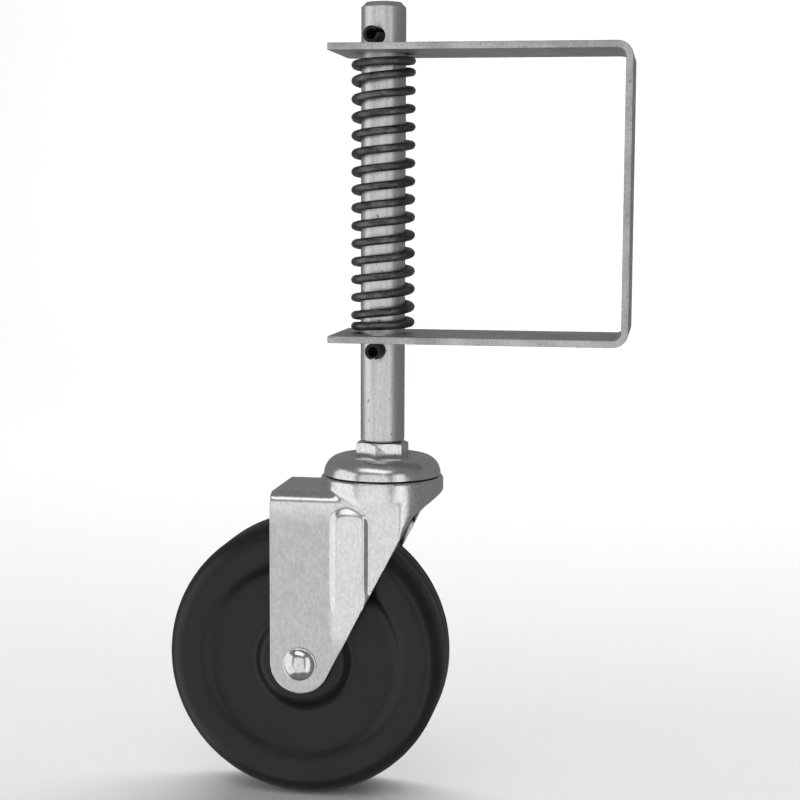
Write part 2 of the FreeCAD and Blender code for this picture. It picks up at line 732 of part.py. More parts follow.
def wheel_half(side):
    """Corners of the wheel's outline on one side, from the hub out to the tread."""
    face = S["wheel_width"] / 2 * side
    web = (S["wheel_width"] / 2 - S["dish_depth"]) * side
    hub = hub_half * side
    dish_radius = wheel_radius - S["rim_depth"]
    shoulder = S["wheel_width"] / 2 - S["tread_flat"] / 2
    groove = S["tread_flat"] / 2 * side
    half_groove = S["groove_width"] / 2 * side
    return [
        (liner_radius, hub),
        (S["boss_radius"] - S["boss_edge"], hub, S["boss_edge"], -1),
        (S["boss_radius"], hub - S["boss_edge"] * side),
        (S["boss_radius"], web),
        (dish_radius - S["dish_slope"], web),
        (dish_radius, face),
        (wheel_radius - shoulder, face, shoulder, -1),
        (wheel_radius, groove),
        (wheel_radius - S["groove_depth"], groove - half_groove),
        (wheel_radius, groove - half_groove * 2),
    ]


def make_wheel():
    """The moulded wheel: dished faces, hub boss, rounded shoulders, grooved tread."""
    far = wheel_half(-1)
    near = wheel_half(1)
    mirrored = [near[0]]
    for number in range(1, len(near)):
        mirrored.append(near[number][:2])
    back = mirrored[::-1]
    # an arc leads on from its first corner, so on the way back it belongs to its last one
    for number, corner in enumerate(near[:-1]):
        if len(corner) == 4:
            spot = len(back) - 2 - number
            back[spot] = (back[spot][0], back[spot][1], corner[2], corner[3])
    return at_axle("wheel", far + back)


def make_liner():
    half = S["liner_length"] / 2
    return at_axle("hub_liner", [
        (liner_inside, -half), (liner_radius, -half), (liner_radius, half), (liner_inside, half),
    ])


def roller_set(name, radius, length):
    """The rollers, or with a little more radius the cage pockets that hold them."""
    centres = ring_points(int(S["roller_count"].value), roller_ring.value)
    middle = Vector(0, 0, length / 2)
    rollers = [Part.makeCylinder(radius, length, centre - middle) for centre in centres]
    item = doc.addObject("Part::Feature", name)
    item.Label = name
    item.Shape = Part.makeCompound(rollers)
    spot = Vector(axle_x.value, 0, axle_z.value)
    item.Placement = FreeCAD.Placement(spot, FreeCAD.Rotation(ACROSS["axis"], ACROSS["turn"]))
    return item


def make_rollers():
    return roller_set("hub_rollers", roller_radius.value, S["roller_length"].value)


def make_cage():
    """A thin tube between sleeve and liner, with a pocket for each roller."""
    inner = sleeve_radius + S["cage_play"]
    outer = liner_inside - S["cage_play"]
    half = S["cage_length"] / 2
    tube = at_axle("cage_tube", [
        (inner, -half), (outer, -half), (outer, half), (inner, half),
    ])
    play = S["pocket_play"]
    pockets = roller_set("cage_pockets", (roller_radius + play).value,
                         (S["roller_length"] + play * 2).value)
    return cut("roller_cage", tube, pockets)


# ---------------------------------------------------------------- build and write
def failed(item):
    return any(word in item.State for word in ("Invalid", "Error"))


def main():
    nodes = [
        make_bracket(),
        make_spring(),
        make_rod(),
        make_pin("upper", pin_height),
        make_pin("lower", -pin_height),
        make_stem(),
        make_cap(),
        make_cup(),
        make_kingpin_washer(),
        make_balls("upper_balls", crest_radius, upper_ball_level),
        make_balls("lower_balls", S["lower_ring_radius"], lower_ball_level),
        make_fork(),
        make_rivet(),
        make_sleeve(),
        make_thrust_washer("near", 1),
        make_thrust_washer("far", -1),
        make_wheel(),
        make_liner(),
        make_rollers(),
        make_cage(),
    ]
    doc.recompute()
    for item in doc.Objects:
        if failed(item):
            raise RuntimeError("%s did not recompute: %s" % (item.Label, item.State))
    for node in nodes:
        if node.Shape.isNull() or not node.Shape.isValid() or not node.Shape.Solids:
            raise RuntimeError("%s has no valid solid" % node.Label)
    os.makedirs("parts", exist_ok=True)
    for node in nodes:
        node.Shape.exportStep("parts/%s.step" % node.Label)
        box = node.Shape.BoundBox
        print("%-20s %2d solids %9.1f mm3  x %.1f %.1f  y %.1f %.1f  z %.1f %.1f" % (
            node.Label, len(node.Shape.Solids), node.Shape.Volume,
            box.XMin, box.XMax, box.YMin, box.YMax, box.ZMin, box.ZMax))


main()
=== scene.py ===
# %% [markdown]
# # A spring-loaded gate wheel
# A gate that swings over rough ground is carried by a wheel on a sprung rod. The rod slides
# in a bracket of bent flat bar, and a swivel caster hangs from its lower end. This lesson
# gives the finished looks to a model that a CAD program has already sized and jointed.
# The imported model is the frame: the landmarks below are read from it, in metres, sizes that
# its boxes don't tell are named where they are first used, and each new piece rides on the
# body that it belongs to.

import json
import math

import bmesh
import bpy
from mathutils import Matrix, Vector


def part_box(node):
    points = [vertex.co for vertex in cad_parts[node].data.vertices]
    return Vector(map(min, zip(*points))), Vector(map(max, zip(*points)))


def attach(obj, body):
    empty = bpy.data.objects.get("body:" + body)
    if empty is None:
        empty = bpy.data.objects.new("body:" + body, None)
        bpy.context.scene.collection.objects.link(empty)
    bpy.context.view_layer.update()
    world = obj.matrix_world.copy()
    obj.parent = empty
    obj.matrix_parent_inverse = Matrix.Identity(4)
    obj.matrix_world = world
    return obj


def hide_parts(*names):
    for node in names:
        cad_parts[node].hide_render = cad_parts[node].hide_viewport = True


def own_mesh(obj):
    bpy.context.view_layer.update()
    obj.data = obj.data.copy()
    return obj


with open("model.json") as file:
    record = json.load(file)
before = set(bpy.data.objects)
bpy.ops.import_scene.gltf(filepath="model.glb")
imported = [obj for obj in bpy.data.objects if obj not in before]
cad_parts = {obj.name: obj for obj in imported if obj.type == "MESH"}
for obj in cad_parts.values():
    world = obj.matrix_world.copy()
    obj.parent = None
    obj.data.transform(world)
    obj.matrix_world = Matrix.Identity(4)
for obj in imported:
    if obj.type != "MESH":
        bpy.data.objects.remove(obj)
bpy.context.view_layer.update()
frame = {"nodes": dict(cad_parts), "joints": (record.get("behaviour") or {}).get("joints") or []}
MM = 0.001

# %% [markdown]
# ## Landmarks
# The CAD nodes' boxes give every landmark that the new pieces are built round: the rod's
# axis, the axle, the levels of the arms, the hexagon, the cap and the fork's top plate.

# %% Landmarks from the CAD boxes
bar_low, bar_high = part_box("mounting_bracket")
rod_low, rod_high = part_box("stem_rod")
coil_low, coil_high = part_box("compression_spring")
stem_low, stem_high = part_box("threaded_stem")
cap_low, cap_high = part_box("swivel_cap")
fork_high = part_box("fork")[1]
wheel_low, wheel_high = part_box("wheel")
rivet_low, rivet_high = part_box("axle_rivet")
stem_x = (rod_low.x + rod_high.x) / 2
stem_axis = Vector((stem_x, 0, 0))
axle = (wheel_low + wheel_high) / 2
axle.y = 0
rod_radius = (rod_high.x - rod_low.x) / 2
wheel_radius = (wheel_high.z - wheel_low.z) / 2
print("rod axis x", round(stem_x / MM, 2), "axle", [round(v / MM, 2) for v in axle])

# %% [markdown]
# ## The camera
# A long lens stands nearly level with the bracket, looks slightly down, and is turned a few
# degrees, so that the near faces of the arms and a sliver of the wheel's tread both show.
# Its place is given from the axle, and its direction as a turn, a tilt and a small roll.

# %% Camera
FROM_AXLE = Vector((131.6, -622.0, 167.4)) * MM
TURN = math.radians(9.0)
TILT = math.radians(6.62)
ROLL = math.radians(0.25)
LENS = 78.75


def aim(place, turn, tilt, roll):
    """A camera's matrix: turned from straight ahead, tilted down, rolled anticlockwise."""
    ahead = math.cos(tilt)
    forward = Vector((-math.sin(turn) * ahead, math.cos(turn) * ahead, -math.sin(tilt)))
    right = forward.cross(Vector((0, 0, 1))).normalized()
    up = right.cross(forward)
    level = Matrix((right, up, -forward)).transposed()
    return Matrix.Translation(place) @ (level @ Matrix.Rotation(roll, 3, "Z")).to_4x4()


camera = bpy.data.objects.new("camera", bpy.data.cameras.new("camera"))
bpy.context.scene.collection.objects.link(camera)
camera.data.lens = LENS
camera.data.clip_start = 0.01
camera.matrix_world = aim(axle + FROM_AXLE, TURN, TILT, ROLL)
bpy.context.scene.camera = camera
print("camera", [round(v, 3) for v in camera.location])

# %% [markdown]
# ## The stage
# Bright zinc shows what stands round it, so the stage matters as much as the metal. A pale
# sheet lies on the floor and another curves up from its back edge to be the wall. A sheet
# is an edge pushed from point to point. A pale floor would fill every reflection and bleach
# the metal, so polished pieces don't mirror the sheets, and the sheets cast no shadow. That
# leaves the reflections to the lamps.

# %% Floor and wall of pale paper
FLOOR_GAP = 0.2 * MM
PAPER_HALF = 3.0
PAPER_FRONT = -2.6
PAPER_BACK = 1.1
PAPER_BEND = 0.5
PAPER_RISE = 1.2
BEND_STEPS = 24


def make_sheet(name, profile):
    """A sheet as wide as the stage: an edge across it, pushed from point to point."""
    bm = bmesh.new()
    ends = [bm.verts.new((side * PAPER_HALF, *profile[0])) for side in (-1, 1)]
    lead = [bm.edges.new(ends)]
    for here, there in zip(profile, profile[1:]):
        pushed = bmesh.ops.extrude_edge_only(bm, edges=lead)["geom"]
        lead = [e for e in pushed if isinstance(e, bmesh.types.BMEdge)]
        far = [v for v in pushed if isinstance(v, bmesh.types.BMVert)]
        bmesh.ops.translate(bm, verts=far, vec=(0, there[0] - here[0], there[1] - here[1]))
    for face in bm.faces:
        face.smooth = True
    mesh = bpy.data.meshes.new(name)
    bm.to_mesh(mesh)
    bm.free()
    sheet = bpy.data.objects.new(name, mesh)
    bpy.context.scene.collection.objects.link(sheet)
    return sheet


floor_z = wheel_low.z - FLOOR_GAP
rising = []
for step in range(BEND_STEPS + 1):
    angle = math.pi / 2 * step / BEND_STEPS
    rising.append((PAPER_BACK + PAPER_BEND * math.sin(angle),
                   floor_z + PAPER_BEND * (1 - math.cos(angle))))
rising.append((PAPER_BACK + PAPER_BEND, floor_z + PAPER_RISE))
paper_floor = make_sheet("paper_floor", [(PAPER_FRONT, floor_z), (PAPER_BACK, floor_z)])
paper_wall = make_sheet("paper_wall", rising)
for sheet in (paper_floor, paper_wall):
    sheet.visible_glossy = False
    sheet.visible_shadow = False
print("paper", len(rising) - 1, "strips in the wall")

# %% [markdown]
# ### Lamps
# A polished cylinder is drawn by what it mirrors. Three tall panels stand in front, at the
# left and at the right, and reach below the floor's level so that their reflections run the
# whole length of the rod and the legs. A lamp above in front lights the floor and the tops.
# A wash brightens the paper behind, and is kept out of the reflections. The air is left
# dim, which gives the metal something dark to mirror between the panels.

# %% Lamps and the air round them
AIR = (0.96, 0.98, 1.0)
AIR_STRENGTH = 0.20
OBJECT = (-0.08, 0, 0.0)
BACKDROP = (0.0, 0.95, -0.2)
FLOOR_AHEAD = (-0.1, -0.55, -0.2)
LAMPS = [
    # name, place, what it faces, size across, size up, watts, mirrored by the metal
    ("front_panel", (-0.30, -1.7, -0.35), OBJECT, 2.0, 3.0, 12.5, True),
    ("left_panel", (-1.7, -0.55, -0.35), OBJECT, 1.8, 3.0, 14.0, True),
    ("right_panel", (1.15, -1.30, -0.35), OBJECT, 0.8, 3.0, 6.5, True),
    ("front_top", (-0.25, -0.95, 1.25), FLOOR_AHEAD, 1.5, 0.6, 3.5, True),
    ("backdrop_wash", (0.0, 0.75, 1.3), BACKDROP, 2.6, 0.5, 26.0, False),
]


def make_lamp(name, place, target, across, up, watts, mirrored):
    """A soft rectangular lamp."""
    data = bpy.data.lights.new(name, "AREA")
    data.shape = "RECTANGLE"
    data.size = across
    data.size_y = up
    data.energy = watts
    lamp = bpy.data.objects.new(name, data)
    bpy.context.scene.collection.objects.link(lamp)
    lamp.location = place
    lamp.rotation_euler = (Vector(target) - lamp.location).to_track_quat("-Z", "Y").to_euler()
    lamp.visible_glossy = mirrored


for row in LAMPS:
    make_lamp(*row)
world = bpy.data.worlds.new("air")
world.use_nodes = True
air = world.node_tree.nodes["Background"].inputs
air["Color"].default_value = (*AIR, 1)
air["Strength"].default_value = AIR_STRENGTH
bpy.context.scene.world = world
bpy.context.scene.view_settings.view_transform = "Standard"
print("lamps", [row[0] for row in LAMPS])

# %% [markdown]
# ## Sums on shader sockets
# A finish is mostly arithmetic on patterns. Written as nodes, even "dirt times one minus
# wear" takes three boxes and four wires. The small class below lets Python's own signs do
# it: each sum adds its Math node. Every other node comes from one method of a finish.

# %% Sockets that add up, and finishes
class Wire:
    """One output of a shader node, on which Python's signs do sums."""

    def __init__(self, finish, socket):
        self.finish = finish
        self.socket = socket

    def sum(self, operation, *values):
        inputs = dict(enumerate(values))
        return self.finish.node("ShaderNodeMath", {"operation": operation}, inputs)

    def __add__(self, other):
        return self.sum("ADD", self, other)

    def __sub__(self, other):
        return self.sum("SUBTRACT", self, other)

    def __mul__(self, other):
        return self.sum("MULTIPLY", self, other)

    def __rsub__(self, other):
        return self.sum("SUBTRACT", other, self)

    __radd__ = __add__
    __rmul__ = __mul__

    def over(self, low, high):
        """0 below low, 1 above high, and smooth between them."""
        inputs = {"Value": self, "From Min": low, "From Max": high}
        settings = {"interpolation_type": "SMOOTHSTEP"}
        return self.finish.node("ShaderNodeMapRange", settings, inputs)


class Finish:
    """A material whose nodes are made by name, with their settings and their inputs."""

    def __init__(self, name):
        self.material = bpy.data.materials.new(name)
        self.material.use_nodes = True
        self.tree = self.material.node_tree
        self.shader = self.tree.nodes["Principled BSDF"]
        self.place = self.node("ShaderNodeTexCoord", {}, {}, "Object")

    def node(self, kind, settings, inputs, output=0):
        made = self.tree.nodes.new(kind)
        for name, value in settings.items():
            setattr(made, name, value)
        for name, value in inputs.items():
            self.join(made.inputs[name], value)
        return Wire(self, made.outputs[output])

    def join(self, socket, value):
        if isinstance(value, Wire):
            self.tree.links.new(value.socket, socket)
        else:
            socket.default_value = value

    def grain(self, size, stretch=(1, 1, 1), detail=3.0, rough=0.55):
        """Cloudy noise whose blotches are about size metres, longer where stretched."""
        scale = [1 / size / part for part in stretch]
        spot = self.node("ShaderNodeMapping", {}, {"Vector": self.place, "Scale": scale})
        inputs = {"Vector": spot, "Scale": 1.0, "Detail": detail, "Roughness": rough}
        return self.node("ShaderNodeTexNoise", {}, inputs, "Fac")

    def blend(self, share, first, second):
        """The first colour where share is 0 and the second where it is 1."""
        inputs = {0: share, 6: first, 7: second}
        return self.node("ShaderNodeMix", {"data_type": "RGBA"}, inputs, 2)

    def colours(self, share, dark, light):
        """A blend of two plain colours, given without their alpha."""
        return self.blend(share, (*dark, 1), (*light, 1))

    def relief(self, height, depth, strength):
        """A bump of the given depth in metres."""
        inputs = {"Height": height, "Distance": depth, "Strength": strength}
        return self.node("ShaderNodeBump", {}, inputs, "Normal")

    def shade(self, **inputs):
        """Join values and wires to the shader's own sockets: underscores stand for spaces."""
        for name, value in inputs.items():
            self.join(self.shader.inputs[name.replace("_", " ")], value)
        return self.material


print("shader helpers ready")

# %% [markdown]
# ## Finishes
# The flat bar is dull zinc: cloudy grey with a fine sparkle and faint marks along its
# length from rolling. Colour alone would look painted, so the same patterns also drive the
# roughness and a shallow bump.

# %% Galvanised flat bar
def bar_finish():
    """Dull zinc on rolled flat bar."""
    f = Finish("galvanised_bar")
    cloud = f.grain(11 * MM, detail=5)
    fleck = f.grain(0.8 * MM, detail=3, rough=0.7)
    rolled = f.grain(0.7 * MM, stretch=(26, 1, 26))
    tone = (cloud * 0.30 + fleck * 0.45 + rolled * 0.25).over(0.36, 0.64)
    pits = f.grain(1.7 * MM, detail=4).over(0.66, 0.72)
    base = f.colours(tone, (0.36, 0.36, 0.355), (0.66, 0.66, 0.65))
    base = f.blend(pits * 0.6, base, (0.20, 0.20, 0.20, 1))
    normal = f.relief(fleck + rolled * 0.5, 0.05 * MM, 0.7)
    return f.shade(Base_Color=base, Metallic=0.9, Roughness=0.33 + fleck * 0.24, Normal=normal)


galvanised = bar_finish()
print("finish", galvanised.name)

# %% [markdown]
# The rod is drawn through a die, so its marks run straight up and down, and the spring has
# scuffed it. Stretching the noise forty times along Z draws the streaks. Another, sparser
# noise leaves the small dark nicks.

# %% Drawn rod
def rod_finish():
    """Satin drawn bar with lengthwise streaks and a few nicks."""
    f = Finish("drawn_rod")
    streak = f.grain(0.55 * MM, stretch=(1, 1, 40), detail=4, rough=0.65)
    band = f.grain(3.5 * MM, stretch=(1, 1, 9), detail=2)
    fleck = f.grain(0.6 * MM, detail=2)
    nicks = f.grain(1.5 * MM, stretch=(1, 1, 1.8), detail=2).over(0.71, 0.745)
    tone = (streak * 0.40 + band * 0.15 + fleck * 0.45).over(0.34, 0.66)
    base = f.colours(tone, (0.58, 0.58, 0.575), (0.80, 0.80, 0.79))
    base = f.blend(nicks * 0.8, base, (0.10, 0.10, 0.10, 1))
    normal = f.relief(streak + nicks * -0.8, 0.03 * MM, 0.6)
    return f.shade(Base_Color=base, Metallic=1.0, Roughness=0.27 + streak * 0.22, Normal=normal)


drawn = rod_finish()
print("finish", drawn.name)

# %% [markdown]
# Spring wire is tempered in oil, which leaves it dark grey and satin. The turns that rub
# are a little brighter. The rolled pins are black oxide, the flattest and darkest metal.

# %% Spring wire and black pins
def wire_finish():
    """Dark oil-tempered wire, rubbed a little brighter in places."""
    f = Finish("spring_wire")
    rub = f.grain(6 * MM, stretch=(1, 1, 0.4), detail=3)
    fleck = f.grain(0.5 * MM, detail=3)
    tone = (rub * 0.55 + fleck * 0.45).over(0.38, 0.66)
    base = f.colours(tone, (0.055, 0.055, 0.058), (0.19, 0.19, 0.19))
    normal = f.relief(fleck, 0.02 * MM, 0.5)
    return f.shade(Base_Color=base, Metallic=0.85, Roughness=0.24 + fleck * 0.16, Normal=normal)


def pin_finish():
    """Black oxide on rolled spring steel."""
    f = Finish("black_pin")
    fleck = f.grain(0.4 * MM, detail=3)
    base = f.colours(fleck.over(0.4, 0.7), (0.012, 0.012, 0.013), (0.05, 0.05, 0.052))
    normal = f.relief(fleck, 0.02 * MM, 0.5)
    return f.shade(Base_Color=base, Metallic=0.6, Roughness=0.38 + fleck * 0.2, Normal=normal)


wire = wire_finish()
black = pin_finish()
print("finishes", wire.name, black.name)

# %% [markdown]
# Fork, cap and hexagon are bright zinc on steel. Under the shine lies a fine crystalline
# grain, with a few stains. On the fork's legs, shade is painted into the colour behind
# their rib and at the foot. Those parts are also a little rougher, so the rib reads lighter. One
# recipe makes them all, from a row of colours, roughness and depth of grain for each.

# %% Bright pressings and bearing steel
# Each pair is where a part of the mask of painted leg shade fades: two levels, or two places
# along X.
LEG_TOP = (-118.0 * MM, -108.0 * MM)
LEG_FOOT = (-166.0 * MM, -152.0 * MM)
BEHIND_RIB = (stem_x - 17.0 * MM, stem_x - 14.0 * MM)
PLATED = [
    # name, dark, light, roughness, grain's depth, whether its legs get painted shade
    ("bright_pressing", (0.66, 0.66, 0.655), (0.88, 0.88, 0.875), 0.17, 0.035 * MM, False),
    ("fork_pressing", (0.70, 0.70, 0.695), (0.90, 0.90, 0.895), 0.17, 0.035 * MM, True),
    ("plated_turning", (0.62, 0.62, 0.615), (0.86, 0.86, 0.855), 0.14, 0.020 * MM, False),
    ("rivet_steel", (0.66, 0.65, 0.64), (0.90, 0.89, 0.88), 0.10, 0.030 * MM, False),
    ("bearing_steel", (0.58, 0.58, 0.59), (0.74, 0.74, 0.75), 0.09, 0.004 * MM, False),
]


def plated_finish(name, dark, light, roughness, grain_depth, painted_leg_shade):
    """Bright plated steel, with shade painted onto the legs behind the rib and at the foot."""
    f = Finish(name)
    cloud = f.grain(7 * MM, detail=4)
    crystal = f.grain(0.9 * MM, stretch=(1, 1, 1.6), detail=3, rough=0.6)
    fine = f.grain(0.25 * MM, detail=2)
    stain = f.grain(2.6 * MM, detail=5, rough=0.7).over(0.62, 0.74)
    tone = (cloud * 0.20 + crystal * 0.45 + fine * 0.35).over(0.36, 0.64)
    base = f.colours(tone, dark, light)
    base = f.blend(stain * 0.22, base, (0.30, 0.30, 0.30, 1))
    shine = roughness + crystal * 0.10 + stain * 0.10
    if painted_leg_shade:
        across = f.node("ShaderNodeSeparateXYZ", {}, {0: f.place}, "X")
        level = f.node("ShaderNodeSeparateXYZ", {}, {0: f.place}, "Z")
        back = 1 - across.over(*BEHIND_RIB)
        leg = 1 - level.over(*LEG_TOP)
        foot = 1 - level.over(*LEG_FOOT)
        # painted shade: the leg behind the rib and at its foot is darkened in colour and made a
        # little rougher
        flat = leg * (back + foot).over(0, 1)
        base = f.blend(flat * (0.66 - crystal * 0.34), base, (0.36, 0.36, 0.36, 1))
        shine = shine + flat * 0.08
    normal = f.relief(crystal + fine * 0.5, grain_depth, 0.6)
    return f.shade(Base_Color=base, Metallic=1.0, Roughness=shine, Normal=normal)


pressing, fork_metal, turned_steel, rivet_metal, bearing = [plated_finish(*row) for row in PLATED]
print("finishes", [row[0] for row in PLATED])

# %% [markdown]
# The wheel is moulded in hard black rubber with a satin skin. Its black is never quite
# black: the mould's fine texture scatters light, and handling leaves a breath of dust. The
# dust is strongest on the tread, found by its distance from the axle.

# %% Hard rubber and the moulded cage
TREAD_BAND = 3.0 * MM


def rubber_finish():
    """Satin black rubber, faintly dusty towards the tread."""
    f = Finish("hard_rubber")
    spot = f.node("ShaderNodeVectorMath", {"operation": "SUBTRACT"}, {0: f.place, 1: axle})
    flat = f.node("ShaderNodeVectorMath", {"operation": "MULTIPLY"}, {0: spot, 1: (1, 0, 1)})
    reach = f.node("ShaderNodeVectorMath", {"operation": "LENGTH"}, {0: flat}, "Value")
    outer = reach.over(wheel_radius - TREAD_BAND, wheel_radius)
    skin = f.grain(0.30 * MM, detail=2)
    cloud = f.grain(14 * MM, detail=4)
    scuff = f.grain(0.8 * MM, stretch=(1, 14, 1), detail=4)
    dust = (cloud * 0.5 + scuff * 0.5).over(0.42, 0.72) * (0.18 + outer * 0.5)
    base = f.colours(dust, (0.006, 0.006, 0.0062), (0.030, 0.030, 0.0295))
    normal = f.relief(skin + cloud * 0.3, 0.03 * MM, 0.45)
    shine = 0.26 + skin * 0.12 + outer * 0.12
    return f.shade(Base_Color=base, Roughness=shine, Specular_IOR_Level=0.38, Normal=normal)


def cage_finish():
    """Natural moulded nylon."""
    f = Finish("cage_moulding")
    cloud = f.grain(4 * MM, detail=3)
    fine = f.grain(0.3 * MM, detail=2)
    base = f.colours(cloud.over(0.35, 0.65), (0.50, 0.47, 0.40), (0.66, 0.63, 0.56))
    normal = f.relief(fine, 0.01 * MM, 0.5)
    return f.shade(Base_Color=base, Roughness=0.42 + fine * 0.12, Normal=normal)


rubber = rubber_finish()
nylon = cage_finish()
print("finishes", rubber.name, nylon.name)

# %% [markdown]
# The paper is plain, pale and dull, with a tooth that hardly shows.

# %% Paper for the stage
def paper_finish():
    """Plain pale paper with a barely visible tooth."""
    f = Finish("pale_paper")
    tooth = f.grain(1.2 * MM, detail=3)
    base = f.colours(tooth, (0.86, 0.86, 0.86), (0.90, 0.90, 0.90))
    return f.shade(Base_Color=base, Roughness=0.9)


pale = paper_finish()
for sheet in (paper_floor, paper_wall):
    sheet.data.materials.append(pale)
print("finish", pale.name)

# %% [markdown]
# ## Making meshes
# Most of these pieces are turned, so an outline spun round an axis makes them: points on
# arcs come from a formula, and a full spin welds its own seam. Sharp edges catch no light,
# so every corner is then bevelled by a few tenths of a millimetre, as a real one is broken.

# %% Helpers for shapes
UP = Vector((0, 0, 1))
LYING = Matrix.Rotation(math.pi / 2, 4, "X")
AROUND = 128
DOUBLES = 0.002 * MM
SHARP = math.radians(28)


def arc(across, up, radius, start, end, steps=8):
    """Points on an arc in an outline, from one angle to another in degrees."""
    turns = [math.radians(start + (end - start) * n / steps) for n in range(steps + 1)]
    return [(across + radius * math.cos(t), up + radius * math.sin(t)) for t in turns]


def weld(bm):
    """Merge doubles and turn every face outwards."""
    bmesh.ops.remove_doubles(bm, verts=bm.verts, dist=DOUBLES)
    bmesh.ops.recalc_face_normals(bm, faces=bm.faces)
    return bm


def lathe(outline, closed=False, steps=AROUND):
    """Spin an outline of (radius, height) points about the Z axis."""
    bm = bmesh.new()
    verts = [bm.verts.new((radius, 0, height)) for radius, height in outline]
    pairs = list(zip(verts, verts[1:])) + ([(verts[-1], verts[0])] if closed else [])
    edges = [bm.edges.new(pair) for pair in pairs]
    bmesh.ops.spin(bm, geom=verts + edges, cent=(0, 0, 0), axis=UP, angle=math.tau,
                   steps=steps, use_merge=True)
    return weld(bm)


def soften(bm, width, segments=2, angle=SHARP, where=None):
    """Bevel the edges that are sharper than an angle."""
    sharp = [e for e in bm.edges if len(e.link_faces) == 2 and e.calc_face_angle(0) > angle
             and (where is None or where(e))]
    bmesh.ops.bevel(bm, geom=sharp, offset=width, offset_type="OFFSET", affect="EDGES",
                    segments=segments, profile=0.5, material=-1, clamp_overlap=True)
    return bm


def moved(bm, *matrices):
    """Apply matrices to a mesh, the last one first."""
    whole = Matrix.Identity(4)
    for matrix in matrices:
        whole = whole @ matrix
    bmesh.ops.transform(bm, matrix=whole, verts=bm.verts)
    return bm


def block_object(bm, name):
    """A throwaway object for a modifier to work on."""
    mesh = bpy.data.meshes.new(name)
    bm.to_mesh(mesh)
    bm.free()
    block = bpy.data.objects.new(name, mesh)
    bpy.context.scene.collection.objects.link(block)
    return block


def worked(block):
    """The mesh that an object's modifiers make, as a bmesh; the object is thrown away."""
    graph = bpy.context.evaluated_depsgraph_get()
    bm = bmesh.new()
    bm.from_mesh(block.evaluated_get(graph).to_mesh())
    bpy.data.objects.remove(block)
    return bm


def combined(bm, tool, operation):
    """Cut one mesh with another (DIFFERENCE), join them (UNION) or keep what they share."""
    block = block_object(bm, "block")
    other = block_object(tool, "tool")
    step = block.modifiers.new("work", "BOOLEAN")
    step.operation = operation
    step.solver = "EXACT"
    step.object = other
    result = worked(block)
    bpy.data.objects.remove(other)
    return weld(result)


def drill(radius, length, *matrices):
    """A plain round tool, centred, along Z before it is moved."""
    bm = bmesh.new()
    bmesh.ops.create_cone(bm, cap_ends=True, segments=64, radius1=radius, radius2=radius,
                          depth=length)
    return moved(bm, *matrices)


def shown(name, bm, body, slot, material, *nodes):
    """Make the finished piece: smooth faces, its finish, its body and the nodes it replaces."""
    for face in bm.faces:
        face.smooth = True
    mesh = bpy.data.meshes.new(name)
    bm.to_mesh(mesh)
    bm.free()
    mesh.set_sharp_from_angle(angle=SHARP)
    mesh.materials.append(material)
    piece = bpy.data.objects.new(name, mesh)
    bpy.context.scene.collection.objects.link(piece)
    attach(piece, body)
    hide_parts(*nodes)
    mesh.calc_loop_triangles()
    print(name, len(mesh.loop_triangles), "triangles")
    return piece


print("shape helpers ready")

# %% [markdown]
# ## The bracket
# A 40 mm flat bar bent twice. One rectangle, the bar's end, is pushed along the arm, spun
# round the bend, pushed down the plate, spun again and pushed back, which is how the bar
# itself runs. Two faces are left inside the bar where bends meet straights, and they are
# taken out, because they would spoil the shading. The holes are cut next, and last every
# edge is rounded as rolled bar is.

# %% Flat bar bent into a U
BAR_THICK = 2.5 * MM
BEND_OUTSIDE = 5.3 * MM
BAR_EDGE = 0.45 * MM
BAR_BEND_STEPS = 14
ROD_HOLE = rod_radius + 0.3 * MM
BOLT_HOLE = 4.5 * MM
BOLT_SPACING = 64 * MM
SLOT_WIDTH = 7.2 * MM
SLOT_LENGTH = 29.2 * MM
LOWER_PIN_TURN = math.radians(-5)
UPPER_PIN_TURN = math.radians(-9)


def push(bm, face, step):
    """Extrude one face by a step and return its new place."""
    made = bmesh.ops.extrude_face_region(bm, geom=[face])["geom"]
    lead = [g for g in made if isinstance(g, bmesh.types.BMFace)][0]
    bmesh.ops.translate(bm, verts=lead.verts, vec=step)
    return lead


def bend(bm, face, centre):
    """Spin one face by a quarter turn about a line along Y and return its new place."""
    geom = [face] + list(face.edges) + list(face.verts)
    made = bmesh.ops.spin(bm, geom=geom, cent=centre, axis=(0, 1, 0), angle=math.pi / 2,
                          steps=BAR_BEND_STEPS)["geom_last"]
    return [g for g in made if isinstance(g, bmesh.types.BMFace)][0]


